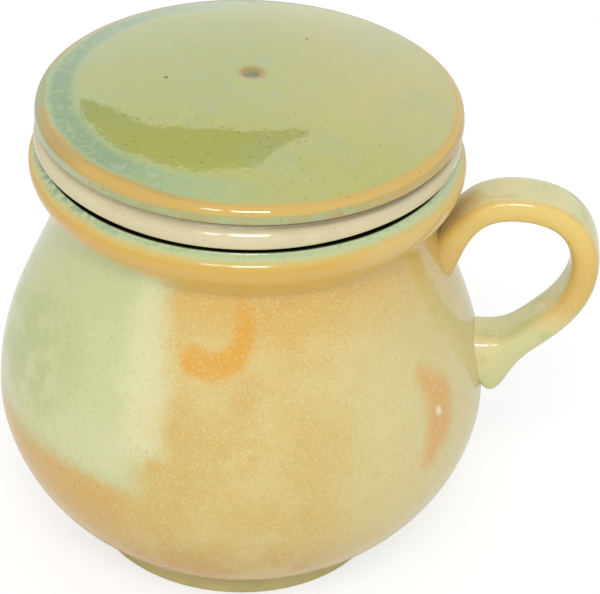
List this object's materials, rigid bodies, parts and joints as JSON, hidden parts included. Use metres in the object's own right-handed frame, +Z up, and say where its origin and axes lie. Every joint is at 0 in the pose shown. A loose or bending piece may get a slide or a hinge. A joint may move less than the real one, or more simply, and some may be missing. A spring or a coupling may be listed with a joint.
{
  "type": "lidded tea mug with infuser",
  "caption": "Round-bellied stoneware tea mug with a strap handle, a lift-out perforated ceramic infuser resting on its rim and a low domed lid.",
  "frame": {"origin": "centre of the foot ring, on the table", "axes": "+Z up along the mug's turned axis, +X out along the handle"},
  "size_m": [0.1293, 0.1072, 0.1124],
  "materials": {
    "body_glaze": "glossy reactive glaze, amber over pale green",
    "handle_glaze": "glossy reactive glaze, pale green with amber edges",
    "foot_glaze": "olive glaze, thin",
    "cream_glaze": "glossy cream liner glaze",
    "lid_glaze": "glossy pale green glaze with an amber shoulder",
    "bare_stoneware": "matt bare clay"
  },
  "bodies": {
    "mug": {"mug_body": "body_glaze", "foot_ring": "foot_glaze", "mug_handle": "handle_glaze"},
    "infuser": {"infuser_collar": "cream_glaze", "infuser_cup": "cream_glaze"},
    "lid": {"lid_disc": "lid_glaze", "lid_locating_ring": "bare_stoneware"}
  },
  "joints": [
    {"name": "infuser_lift", "type": "slide", "parent": "mug", "child": "infuser", "axis": [0, 0, 1], "range_m": [0, 0.1]},
    {"name": "lid_lift", "type": "slide", "parent": "infuser", "child": "lid", "axis": [0, 0, 1], "range_m": [0, 0.04]}
  ]
}
